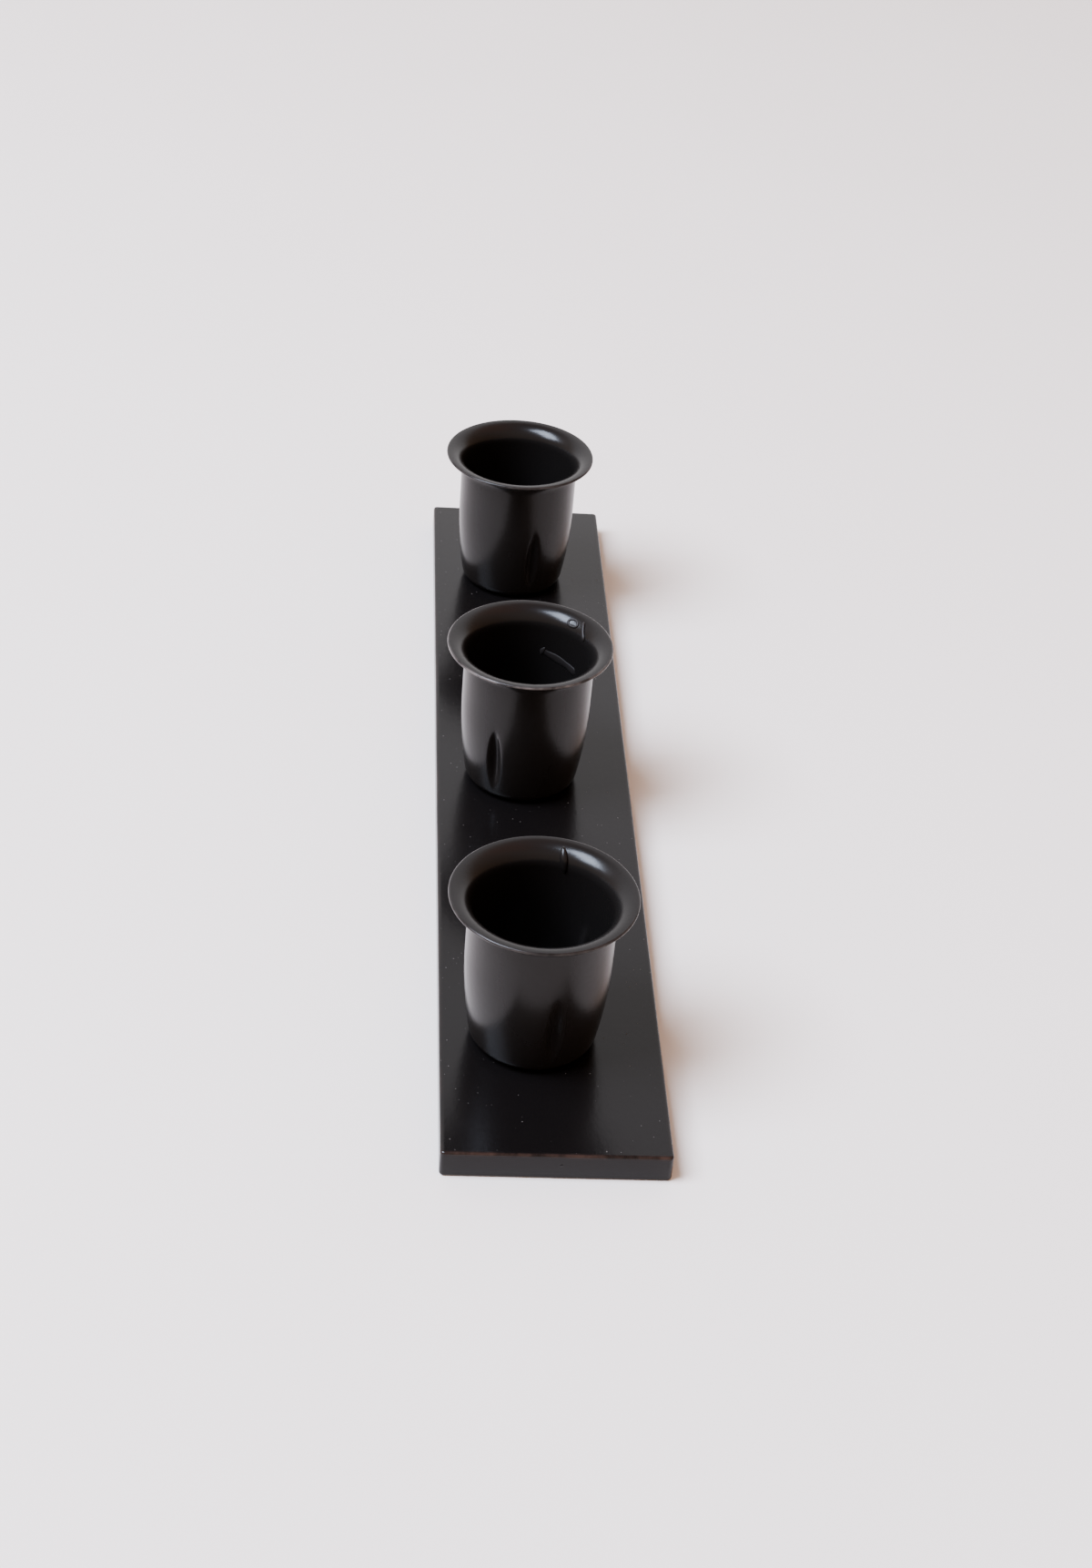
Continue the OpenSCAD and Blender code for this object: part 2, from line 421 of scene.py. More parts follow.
def cup_tree() -> bpy.types.NodeTree:
    """Build the tree of a drawn cup with grip flutes pressed in from outside.

    Returns:
        The tree. A round-edged blade on a wide arc presses each flute: the wall gives way where the
        blade would be inside it, and a smooth maximum rounds the shoulders.
    """
    sizes = ("Body Radius", "Flutes", "Depth", "Middle", "Blade Radius", "Flank", "Root", "Shoulder", "Waver")
    shape = TurnedTree("drawn_cup", sizes)
    inputs, add = shape.inputs, shape.add
    # bearing from the nearest flute's middle
    spacing = add("ShaderNodeMath", {0: math.tau, 1: inputs["Flutes"]}, operation="DIVIDE")
    half = add("ShaderNodeMath", {0: spacing, 1: 0.5}, operation="MULTIPLY")
    ahead = add("ShaderNodeMath", {0: shape.angle, 1: half}, operation="ADD")
    wrapped = add("ShaderNodeMath", {0: ahead, 1: spacing}, operation="FLOORED_MODULO")
    off = add("ShaderNodeMath", {0: wrapped, 1: half}, operation="SUBTRACT")
    sine = add("ShaderNodeMath", {0: off}, operation="SINE")
    across = add("ShaderNodeMath", {0: sine, 1: shape.radius}, operation="MULTIPLY")
    # the blade's flanks: a V with a round root, flank * (sqrt(across^2 + root^2) - root)
    square = add("ShaderNodeMath", {0: across, 1: across}, operation="MULTIPLY")
    root_square = add("ShaderNodeMath", {0: inputs["Root"], 1: inputs["Root"]}, operation="MULTIPLY")
    total = add("ShaderNodeMath", {0: square, 1: root_square}, operation="ADD")
    slope = add("ShaderNodeMath", {0: total}, operation="SQRT")
    rise = add("ShaderNodeMath", {0: slope, 1: inputs["Root"]}, operation="SUBTRACT")
    flank = add("ShaderNodeMath", {0: rise, 1: inputs["Flank"]}, operation="MULTIPLY")
    # the blade's arc: (height - middle)^2 / (2 * blade radius)
    above = add("ShaderNodeMath", {0: shape.height, 1: inputs["Middle"]}, operation="SUBTRACT")
    above_square = add("ShaderNodeMath", {0: above, 1: above}, operation="MULTIPLY")
    twice = add("ShaderNodeMath", {0: inputs["Blade Radius"], 1: 2.0}, operation="MULTIPLY")
    sag = add("ShaderNodeMath", {0: above_square, 1: twice}, operation="DIVIDE")
    # how deep the blade is inside the wall
    outer = add("ShaderNodeMath", {0: shape.radius, 1: shape.marks[SKIN]}, operation="ADD")
    proud = add("ShaderNodeMath", {0: outer, 1: inputs["Body Radius"]}, operation="SUBTRACT")
    reach = add("ShaderNodeMath", {0: proud, 1: inputs["Depth"]}, operation="ADD")
    less_flank = add("ShaderNodeMath", {0: reach, 1: flank}, operation="SUBTRACT")
    bite = add("ShaderNodeMath", {0: less_flank, 1: sag}, operation="SUBTRACT")
    # smooth maximum of the bite and nothing
    bite_square = add("ShaderNodeMath", {0: bite, 1: bite}, operation="MULTIPLY")
    soft = add("ShaderNodeMath", {0: inputs["Shoulder"], 1: inputs["Shoulder"]}, operation="MULTIPLY")
    sum_square = add("ShaderNodeMath", {0: bite_square, 1: soft}, operation="ADD")
    length = add("ShaderNodeMath", {0: sum_square}, operation="SQRT")
    doubled = add("ShaderNodeMath", {0: bite, 1: length}, operation="ADD")
    press = add("ShaderNodeMath", {0: doubled, 1: -0.5}, operation="MULTIPLY")
    # the sheet is never perfectly round: a slow waver in and out
    bearing = add("ShaderNodeCombineXYZ", {"X": 1.0})
    around = add("ShaderNodeVectorRotate", {"Vector": bearing, "Angle": shape.angle}, rotation_type="Z_AXIS")
    lift = add("ShaderNodeMath", {0: shape.height, 1: 40.0}, operation="MULTIPLY")
    upward = add("ShaderNodeCombineXYZ", {"Z": lift})
    spot = add("ShaderNodeVectorMath", {0: around, 1: upward}, operation="ADD")
    slow = add(
        "ShaderNodeTexNoise", {"Vector": spot, "W": inputs["Turn"], "Scale": 1.4, "Detail": 1.0},
        noise_dimensions="4D",
    )
    even = add("ShaderNodeMath", {0: slow, 1: 0.5}, operation="SUBTRACT")
    waver = add("ShaderNodeMath", {0: even, 1: inputs["Waver"]}, operation="MULTIPLY")
    return shape.finish(add("ShaderNodeMath", {0: press, 1: waver}, operation="ADD"), closed_outline=True)


def screw_tree() -> bpy.types.NodeTree:
    """Build the tree of a slotted machine screw with a helical thread.

    Returns:
        The tree. Points marked as thread stand out by a triangle wave that climbs one pitch a turn.
    """
    sizes = ("Pitch", "Thread Depth", "Head Height", "Slot Width", "Slot Depth")
    shape = TurnedTree("slotted_screw", sizes)
    inputs, add = shape.inputs, shape.add
    climb = add("ShaderNodeMath", {0: shape.height, 1: inputs["Pitch"]}, operation="DIVIDE")
    turns = add("ShaderNodeMath", {0: shape.angle, 1: math.tau}, operation="DIVIDE")
    phase = add("ShaderNodeMath", {0: climb, 1: turns}, operation="SUBTRACT")
    wave = add("ShaderNodeMath", {0: phase, 1: 0.5}, operation="PINGPONG")
    crest = add("ShaderNodeMath", {0: wave, 1: 2.3}, operation="MULTIPLY", use_clamp=True)
    height = add("ShaderNodeMath", {0: crest, 1: inputs["Thread Depth"]}, operation="MULTIPLY")
    shift = add("ShaderNodeMath", {0: height, 1: shape.marks[THREAD]}, operation="MULTIPLY")
    room = add("ShaderNodeMath", {0: inputs["Slot Depth"], 1: 2.0}, operation="MULTIPLY")
    size = add("ShaderNodeCombineXYZ", {"X": 20 * MM, "Y": inputs["Slot Width"], "Z": room})
    block = add("GeometryNodeMeshCube", {"Size": size})
    top = add("ShaderNodeCombineXYZ", {"Z": inputs["Head Height"]})
    slot = add("GeometryNodeTransform", {"Geometry": block, "Translation": top})
    return shape.finish(shift, slot)


def run_tree() -> bpy.types.NodeTree:
    """Build the tree of a run of lacquer.

    Returns:
        The tree: a soft bead along a few stops, as wide at each as its mark says, pressed flat
        towards the surface round the axis.
    """
    tree = start_tree(
        "lacquer_run", {"Stops": "Geometry", "Steps": "Int", "Flatness": "Float", "Axis": "Vector"}
    )
    inputs = add_node(tree, "NodeGroupInput").outputs
    line = add_node(tree, "GeometryNodeMeshToCurve", {0: inputs["Stops"]})
    soft = add_node(tree, "GeometryNodeCurveSplineType", {0: line}, spline_type="CATMULL_ROM")
    fine = add_node(
        tree, "GeometryNodeSetSplineResolution", {"Geometry": soft, "Resolution": inputs["Steps"]}
    )
    half = add_node(tree, "GeometryNodeInputNamedAttribute", {"Name": BEAD}, data_type="FLOAT")
    place = add_node(tree, "GeometryNodeInputPosition")
    seated = add_node(
        tree,
        "GeometryNodeStoreNamedAttribute",
        {"Geometry": fine, "Name": SEAT, "Value": place},
        data_type="FLOAT_VECTOR",
        domain="POINT",
    )
    ring = add_node(tree, "GeometryNodeCurvePrimitiveCircle", {"Resolution": 12, "Radius": 1.0})
    tube = add_node(
        tree,
        "GeometryNodeCurveToMesh",
        {"Curve": seated, "Profile Curve": ring.outputs[0], "Scale": half, "Fill Caps": True},
    )
    # press the bead flat towards the surface: shorten what stands off it along the line from the axis
    seat = add_node(tree, "GeometryNodeInputNamedAttribute", {"Name": SEAT}, data_type="FLOAT_VECTOR")
    stand = add_node(tree, "ShaderNodeVectorMath", {0: place, 1: seat}, operation="SUBTRACT")
    away = add_node(tree, "ShaderNodeVectorMath", {0: place, 1: inputs["Axis"]}, operation="SUBTRACT")
    level = add_node(tree, "ShaderNodeVectorMath", {0: away, 1: (1.0, 1.0, 0.0)}, operation="MULTIPLY")
    across = add_node(tree, "ShaderNodeVectorMath", {0: level}, operation="NORMALIZE")
    proud = add_node(tree, "ShaderNodeVectorMath", {0: stand, 1: across}, operation="DOT_PRODUCT")
    less = add_node(tree, "ShaderNodeMath", {0: inputs["Flatness"], 1: 1.0}, operation="SUBTRACT")
    back = add_node(tree, "ShaderNodeMath", {0: proud.outputs["Value"], 1: less}, operation="MULTIPLY")
    offset = add_node(tree, "ShaderNodeVectorMath", {0: across, "Scale": back}, operation="SCALE")
    pressed = add_node(tree, "GeometryNodeSetPosition", {"Geometry": tube, "Offset": offset})
    end_tree(tree, pressed, inputs["Finish"])
    return tree


def washer_tree() -> bpy.types.NodeTree:
    """Build the tree of a plain turned ring."""
    shape = TurnedTree("plain_washer")
    still = shape.add("ShaderNodeMath", {0: 0.0, 1: 0.0}, operation="ADD")
    return shape.finish(still, closed_outline=True)


# ---------------------------------------------------------------------------------------------
# Finishes


def start_finish(name: str) -> tuple[bpy.types.Material, bpy.types.NodeTree, bpy.types.NodeSocket]:
    """Start a material.

    Args:
        name: the material's name.

    Returns:
        The material, its empty tree and the piece's own coordinates.
    """
    material = bpy.data.materials.new(name)
    material.use_nodes = True
    tree = material.node_tree
    tree.nodes.clear()
    return material, tree, add_node(tree, "ShaderNodeTexCoord").outputs["Object"]


@dataclass(frozen=True)
class SatinLacquer:
    """Satin black lacquer, sprayed on steel: near-black, with broad soft reflections.

    The film is smooth but not level: a fine orange peel breaks reflections up a little, and where hands
    and cloths rub an edge the film thins to a warm brown. Dust settles on faces that look up.
    """

    name: str
    film: str = "#141212"
    thin_film: str = "#3d302b"
    dust: str = "#8f8a86"
    roughness: float = 0.2
    roughness_spread: float = 0.06
    ior: float = 1.39
    peel_mm: float = 0.9
    peel_depth_mm: float = 0.012
    dust_spot_mm: float = 1.3
    dust_share: float = 0.6
    dust_veil: float = 0.3
    wear_break_mm: float = 5.0
    cloud_mm: float = 22.0

    def build(self) -> bpy.types.Material:
        """Return the finish as a material."""
        material, tree, place = start_finish(self.name)
        # film thickness and sheen change slowly over the surface
        cloud = add_node(
            tree,
            "ShaderNodeTexNoise",
            {"Vector": place, "Scale": 1 / (self.cloud_mm * MM), "Detail": 3.0, "Roughness": 0.6},
        )
        sheen = add_node(
            tree,
            "ShaderNodeMapRange",
            {
                "Value": cloud,
                "From Min": 0.3,
                "From Max": 0.7,
                "To Min": self.roughness - self.roughness_spread / 2,
                "To Max": self.roughness + self.roughness_spread / 2,
            },
        )
        # rubbed edges: the wear mark on the mesh, broken up along the edge
        mark = add_node(tree, "ShaderNodeAttribute", attribute_name=WEAR)
        patches = add_node(
            tree,
            "ShaderNodeTexNoise",
            {"Vector": place, "Scale": 1 / (self.wear_break_mm * MM), "Detail": 4.0, "Roughness": 0.65},
        )
        broken = add_node(
            tree, "ShaderNodeMapRange", {"Value": patches, "From Min": 0.36, "From Max": 0.62}
        )
        worn = add_node(
            tree, "ShaderNodeMath", {0: mark.outputs["Fac"], 1: broken}, operation="MULTIPLY", use_clamp=True
        )
        colour = add_node(
            tree,
            "ShaderNodeMix",
            {0: worn, 6: linear(self.film), 7: linear(self.thin_film)},
            data_type="RGBA",
        )
        # dust: small round specks in some of the cells, only on faces that look up
        cells = add_node(
            tree,
            "ShaderNodeTexVoronoi",
            {"Vector": place, "Scale": 1 / (self.dust_spot_mm * MM), "Randomness": 1.0},
        )
        chance = add_node(tree, "ShaderNodeSeparateColor", {0: cells.outputs["Color"]})
        picked = add_node(
            tree, "ShaderNodeMath", {0: chance.outputs[0], 1: self.dust_share}, operation="LESS_THAN"
        )
        size = add_node(
            tree, "ShaderNodeMapRange", {"Value": chance.outputs[1], "To Min": 0.03, "To Max": 0.1}
        )
        inside = add_node(
            tree, "ShaderNodeMath", {0: cells.outputs["Distance"], 1: size}, operation="LESS_THAN"
        )
        facing = add_node(tree, "ShaderNodeNewGeometry").outputs["Normal"]
        upward = add_node(tree, "ShaderNodeSeparateXYZ", {0: facing}).outputs["Z"]
        level = add_node(tree, "ShaderNodeMapRange", {"Value": upward, "From Min": 0.85, "From Max": 0.97})
        speck = add_node(tree, "ShaderNodeMath", {0: picked, 1: inside}, operation="MULTIPLY")
        lying = add_node(tree, "ShaderNodeMath", {0: speck, 1: level}, operation="MULTIPLY")
        thin = add_node(tree, "ShaderNodeMath", {0: lying, 1: self.dust_veil}, operation="MULTIPLY")
        dusty = add_node(
            tree, "ShaderNodeMix", {0: thin, 6: colour.outputs[2], 7: linear(self.dust)}, data_type="RGBA"
        )
        rough = add_node(tree, "ShaderNodeMath", {0: lying, 1: sheen}, operation="MAXIMUM")
        peel = add_node(
            tree, "ShaderNodeTexNoise", {"Vector": place, "Scale": 1 / (self.peel_mm * MM), "Detail": 2.0}
        )
        bump = add_node(
            tree, "ShaderNodeBump", {"Height": peel, "Distance": self.peel_depth_mm * MM, "Strength": 1.0}
        )
        shader = add_node(
            tree,
            "ShaderNodeBsdfPrincipled",
            {"Base Color": dusty.outputs[2], "Roughness": rough, "IOR": self.ior, "Normal": bump},
        )
        add_node(tree, "ShaderNodeOutputMaterial", {"Surface": shader})
        return material


@dataclass(frozen=True)
class ZincPlate:
    """Bright zinc plate on turned steel: a pale bluish metal with fine rings left by the lathe."""

    name: str
    metal: str = "#c9ccd0"
    stain: str = "#a3a39c"
    roughness: float = 0.3
    ring_mm: float = 0.22
    ring_depth_mm: float = 0.006
    stain_mm: float = 1.6

    def build(self, axis: Vector) -> bpy.types.Material:
        """Return the finish as a material.

        Args:
            axis: a point on the axis that the piece was turned about.
        """
        material, tree, place = start_finish(self.name)
        centred = add_node(tree, "ShaderNodeMapping", {"Vector": place, "Location": -axis})
        rings = add_node(
            tree,
            "ShaderNodeTexWave",
            {"Vector": centred, "Scale": 1 / (20 * self.ring_mm * MM), "Distortion": 0.4, "Detail": 1.0},
            wave_type="RINGS",
            rings_direction="Z",
        )
        cloud = add_node(
            tree, "ShaderNodeTexNoise", {"Vector": place, "Scale": 1 / (self.stain_mm * MM), "Detail": 3.0}
        )
        colour = add_node(
            tree,
            "ShaderNodeMix",
            {0: cloud, 6: linear(self.metal), 7: linear(self.stain)},
            data_type="RGBA",
        )
        rough = add_node(
            tree,
            "ShaderNodeMapRange",
            {"Value": cloud, "To Min": self.roughness - 0.08, "To Max": self.roughness + 0.12},
        )
        bump = add_node(tree, "ShaderNodeBump", {"Height": rings, "Distance": self.ring_depth_mm * MM})
        shader = add_node(
            tree,
            "ShaderNodeBsdfPrincipled",
            {"Base Color": colour.outputs[2], "Roughness": rough, "Metallic": 1.0, "Normal": bump},
        )
        add_node(tree, "ShaderNodeOutputMaterial", {"Surface": shader})
        return material


@dataclass(frozen=True)
class PaleTable:
    """A painted table top: matt, very pale and slightly warm, with hardly any pattern."""

    name: str = "matt_pale_paint"
    paint: str = "#e9e2dc"
    shade: str = "#e5ddd7"
    roughness: float = 0.6

    def build(self) -> bpy.types.Material:
        """Return the finish as a material."""
        material, tree, place = start_finish(self.name)
        cloud = add_node(tree, "ShaderNodeTexNoise", {"Vector": place, "Scale": 9.0, "Detail": 2.0})
        colour = add_node(
            tree, "ShaderNodeMix", {0: cloud, 6: linear(self.paint), 7: linear(self.shade)}, data_type="RGBA"
        )
        shader = add_node(
            tree,
            "ShaderNodeBsdfPrincipled",
            {"Base Color": colour.outputs[2], "Roughness": self.roughness, "Specular IOR Level": 0.3},
        )
        add_node(tree, "ShaderNodeOutputMaterial", {"Surface": shader})
        return material


# ---------------------------------------------------------------------------------------------
# Sub-assemblies


@dataclass
class BaseBar:
    """The flat steel bar: round-broken edges, sawn ends and three tapped holes."""

    holes: list[Vector]
    node: str = "base_bar"
    slot: str = "bar_lacquer"
    edge: float = 0.45
    corner: float = 0.8
    edge_steps: int = 5
    side_step: float = 3.0
    fade: float = 0.3
    waver: float = 0.035
    hole_radius: float = 2.0
    hole_mouth: float = 0.4
    hole_points: int = 48

    def __post_init__(self) -> None:
        """Take the bar's outer sizes from the frame."""
        self.low, self.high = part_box(self.node)
        size = (self.high - self.low) / MM
        self.length, self.width, self.thickness = size

    def ring(self, inset: float) -> list[tuple[float, float]]:
        """Return the bar's outline seen from above, drawn in by inset, as points in millimetres."""
        x, y, r = self.length / 2 - self.corner, self.width / 2 - self.corner, self.corner - inset
        points: list[tuple[float, float]] = []
        for quarter, (cx, cy) in enumerate(((x, y), (-x, y), (-x, -y), (x, -y))):
            for i in range(self.edge_steps + 1):
                bearing = math.radians(90 * (quarter + i / self.edge_steps))
                points.append((cx + r * math.cos(bearing), cy + r * math.sin(bearing)))
            nx, ny = ((-x, y), (-x, -y), (x, -y), (x, y))[quarter]
            start, end = points[-1], (nx + r * math.cos(bearing), ny + r * math.sin(bearing))
            steps = round(math.dist(start, end) / self.side_step)
            points += [
                (start[0] + (end[0] - start[0]) * i / steps, start[1] + (end[1] - start[1]) * i / steps)
                for i in range(1, steps)
            ]
        return points

    def levels(self) -> list[tuple[float, float, float]]:
        """Return inset, height and wear for each ring, from the underside round to the top."""
        rows = [(self.edge + self.fade, 0.0, 0.0)]
        for i in range(self.edge_steps + 1):
            bearing = math.radians(90 * i / self.edge_steps)
            rows.append((self.edge * (1 - math.sin(bearing)), self.edge * (1 - math.cos(bearing)), 0.0))
        for i in range(self.edge_steps + 1):
            bearing = math.radians(90 * i / self.edge_steps)
            height = self.thickness - self.edge * (1 - math.sin(bearing))
            rows.append((self.edge * (1 - math.cos(bearing)), height, 0.3 + 0.7 * math.sin(2 * bearing)))
            if i == 0:
                rows.insert(-1, (0.0, height - self.fade, 0.0))
        rows.append((self.edge + self.fade, self.thickness, 0.0))
        return rows

    def build(self, finish: SatinLacquer) -> bpy.types.Object:
        """Build the bar as one closed mesh and dress it.

        Args:
            finish: the bar's lacquer.

        Returns:
            The finished bar.
        """
        centre = (self.low + self.high) / 2
        verts: list[Vector] = []
        wear: list[float] = []
        faces: list[tuple[int, ...]] = []
        rings = []
        for inset, height, mark in self.levels():
            rings.append(range(len(verts), len(verts) + len(self.ring(inset))))
            for x, y in self.ring(inset):
                sway = noise.noise(Vector((x, y, 0.0)) / 14) * self.waver
                outward = Vector((x, y * self.length / self.width)).normalized()
                verts.append(Vector((x + outward.x * sway, y + outward.y * sway, height)))
                near_end = 1.0 if x > self.length / 2 - self.corner else 0.25
                wear.append(mark * near_end)
        count = len(rings[0])
        for below, above in zip(rings, rings[1:]):
            faces += [
                (below[i], below[(i + 1) % count], above[(i + 1) % count], above[i]) for i in range(count)
            ]
        mouths: dict[str, list[range]] = {"bottom": [], "top": []}
        for hole in self.holes:
            faces += self._hole(hole / MM, verts, wear, mouths)
        for side, ring in (("bottom", rings[0]), ("top", rings[-1])):
            faces += self._cap([ring, *mouths[side]], verts, side == "top")
        mesh = bpy.data.meshes.new(self.node)
        shift = Vector((centre.x, centre.y, self.low.z))
        mesh.from_pydata([v * MM + shift for v in verts], [], faces)
        mesh.attributes.new(WEAR, "FLOAT", "POINT").data.foreach_set("value", wear)
        mesh.shade_smooth()
        mesh.set_sharp_from_angle(angle=math.radians(30))
        mesh.materials.append(finish.build())
        piece = new_object("flat_bar", mesh)
        set_on(piece, self.node)
        return piece

    def nib(self) -> LacquerRun:
        """Return a small nib of lacquer that set on the near end face."""
        end, side, up, half = self.high.x / MM, 0.73, 2.9, 0.3
        widths = ((-1, 0.05), (0, half), (1, 0.05))
        stops = [(Vector((end, side + step * half, up)), width) for step, width in widths]
        behind = Vector((self.low.x, side * MM, up * MM))
        return LacquerRun("lacquer_nib_on_end", stops, behind, self.slot)

    def _hole(
        self, at: Vector, verts: list[Vector], wear: list[float], mouths: dict[str, list[range]]
    ) -> list[tuple[int, ...]]:
        """Add one hole with countersunk mouths; its first and last rings join the two faces.

        Args:
            at: where the hole's axis is, in millimetres.
            verts: the bar's points, which the hole adds to.
            wear: the bar's wear marks, which the hole adds to.
            mouths: the rings round the mouths on each face, which the hole adds to.

        Returns:
            The faces of the hole's wall.
        """
        rows = (
            (self.hole_radius + self.hole_mouth, 0.0),
            (self.hole_radius, self.hole_mouth),
            (self.hole_radius, self.thickness - self.hole_mouth),
            (self.hole_radius + self.hole_mouth, self.thickness),
        )
        rings, count = [], self.hole_points
        for radius, height in rows:
            rings.append(range(len(verts), len(verts) + count))
            for i in range(count):
                bearing = math.tau * i / count
                x, y = at.x + radius * math.cos(bearing), at.y + radius * math.sin(bearing)
                verts.append(Vector((x, y, height)))
                wear.append(0.0)
        mouths["bottom"].append(rings[0])
        mouths["top"].append(rings[-1])
        return [
            (below[i], above[i], above[(i + 1) % count], below[(i + 1) % count])
            for below, above in zip(rings, rings[1:])
            for i in range(count)
        ]

    @staticmethod
    def _cap(rings: list[range], verts: list[Vector], upward: bool) -> list[tuple[int, ...]]:
        """Fill a flat face between its outer ring and its holes.

        Args:
            rings: the outer ring and then the holes' rings, as point numbers.
            verts: the bar's points.
            upward: whether the face looks up.

        Returns:
            The face's triangles.
        """
        order = [i for ring in rings for i in ring]
        found = tessellate_polygon([[verts[i] for i in ring] for ring in rings])
        faces = []
        for a, b, c in found:
            one, two, three = order[a], order[b], order[c]
            turn = (verts[two] - verts[one]).cross(verts[three] - verts[one]).z
            faces.append((one, two, three) if (turn > 0) == upward else (one, three, two))
        return faces


@dataclass
class CandleCup:
    """One drawn sheet-steel cup: rounded foot, gentle draw, straight bore, turned-out lip, flutes."""

    place: Place
    turn: float
    wear: float = 0.3
    sheet: float = 0.6
    hole_radius: float = 2.15
    foot_radius: float = 2.5
    draw_height: float = 17.8
    draw_radius: float = 92.0
    lip_radius: float = 2.9
    flutes: int = 3
    flute_depth: float = 1.55
    flute_middle: float = 7.6
    flute_blade: float = 24.3
    flute_flank: float = 1.7
    flute_root: float = 1.2
    flute_shoulder: float = 0.3
    waver: float = 0.05
    deburr: float = 0.08
    around: int = 360
    slot: str = "cup_lacquer"

    def __post_init__(self) -> None:
        """Take the cup's place, height and lip from the frame."""
        self.node = f"cup_{self.place.value}"
        self.centre, _, self.lip, self.height = standing(self.node)

    def outline(self, bore: float) -> Outline:
        """Draw the sheet's section, from the floor's hole out, up, over the lip and back inside.

        Args:
            bore: the radius of the straight bore in millimetres.

        Returns:
            The closed outline, its inner side marked with the sheet's thickness.
        """
        body = bore + self.sheet
        curl_z = self.height - self.sheet - self.lip_radius
        curl = (body + self.lip_radius, curl_z)
        reach = self.draw_radius - self.foot_radius
        draw = (body - self.draw_radius, self.draw_height)
        foot = (draw[0] + math.sqrt(reach**2 - (self.draw_height - self.foot_radius) ** 2), self.foot_radius)
        meet = math.degrees(math.atan2(foot[1] - draw[1], foot[0] - draw[0]))
        edge = (self.lip - self.sheet / 2, self.height - self.sheet / 2)
        round_edge = self.sheet / 2
        line = Outline()
        line.add(self.hole_radius, self.deburr)
        line.line(self.hole_radius + self.deburr, 0.0)
        line.line(foot[0], 0.0, steps=8)
        line.arc(foot, self.foot_radius, -90, meet, 14)
        line.arc(draw, self.draw_radius, meet, 0, 44)
        line.line(body, curl_z, steps=16)
        line.arc(curl, self.lip_radius, 180, 90, 16)
        line.line(edge[0], edge[1] - round_edge)
        line.arc(edge, round_edge, -90, -30, 3)
        line.arc(edge, round_edge, -15, 45, 4, wear=self.wear)
        line.arc(edge, round_edge, 60, 90, 2, wear=0.35 * self.wear)
        line.line(curl[0], self.height, skin=self.sheet)
        line.arc(curl, self.lip_radius + self.sheet, 90, 180, 18, skin=self.sheet)
        line.line(bore, self.draw_height, steps=16, skin=self.sheet)
        line.arc(draw, self.draw_radius - self.sheet, 0, meet, 44, skin=self.sheet)
        line.arc(foot, self.foot_radius - self.sheet, meet, -90, 10, skin=self.sheet)
        line.line(self.hole_radius + self.deburr, self.sheet, steps=8, skin=self.sheet)
        line.line(self.hole_radius, self.sheet - self.deburr, skin=self.sheet)
        line.line(self.hole_radius, self.deburr)
        for marks in line.marks:
            marks[SKIN] = marks.get(SKIN, 0.0) * MM
        return line

    def inside(self, bore: float, bearing: float, height: float) -> Vector:
        """Return a point on the inner wall, in millimetres.

        Args:
            bore: the radius of the straight bore in millimetres.
            bearing: the point's bearing about the cup's axis in degrees, from +X towards +Y.
            height: the point's height above the cup's foot, no lower than the straight wall.

        Returns:
            The point.
        """
        curl = self.lip_radius + self.sheet
        rise = max(0.0, height - (self.height - curl))
        radius = bore + curl - math.sqrt(curl**2 - rise**2)
        turn = math.radians(bearing)
        return self.centre / MM + Vector((radius * math.cos(turn), radius * math.sin(turn), height))

    def build(self, tree: bpy.types.NodeTree, bore: float, finish: bpy.types.Material) -> bpy.types.Object:
        """Build the cup with the drawn-cup tree and dress it.

        Args:
            tree: the drawn-cup tree.
            bore: the radius of the straight bore in millimetres.
            finish: the cup's lacquer.

        Returns:
            The finished cup.
        """
        lengths = {
            "Body Radius": bore + self.sheet,
            "Depth": self.flute_depth,
            "Middle": self.flute_middle,
            "Blade Radius": self.flute_blade,
            "Root": self.flute_root,
            "Shoulder": self.flute_shoulder,
            "Waver": self.waver,
        }
        values = {
            "Around": self.around,
            "Turn": math.radians(self.turn),
            "Centre": self.centre,
            "Flutes": float(self.flutes),
            "Flank": self.flute_flank,
            "Finish": finish,
            **{label: length * MM for label, length in lengths.items()},
        }
        piece = turn_piece(f"drawn_cup_{self.place.value}", self.outline(bore), tree, values)
        set_on(piece, self.node)
        return piece


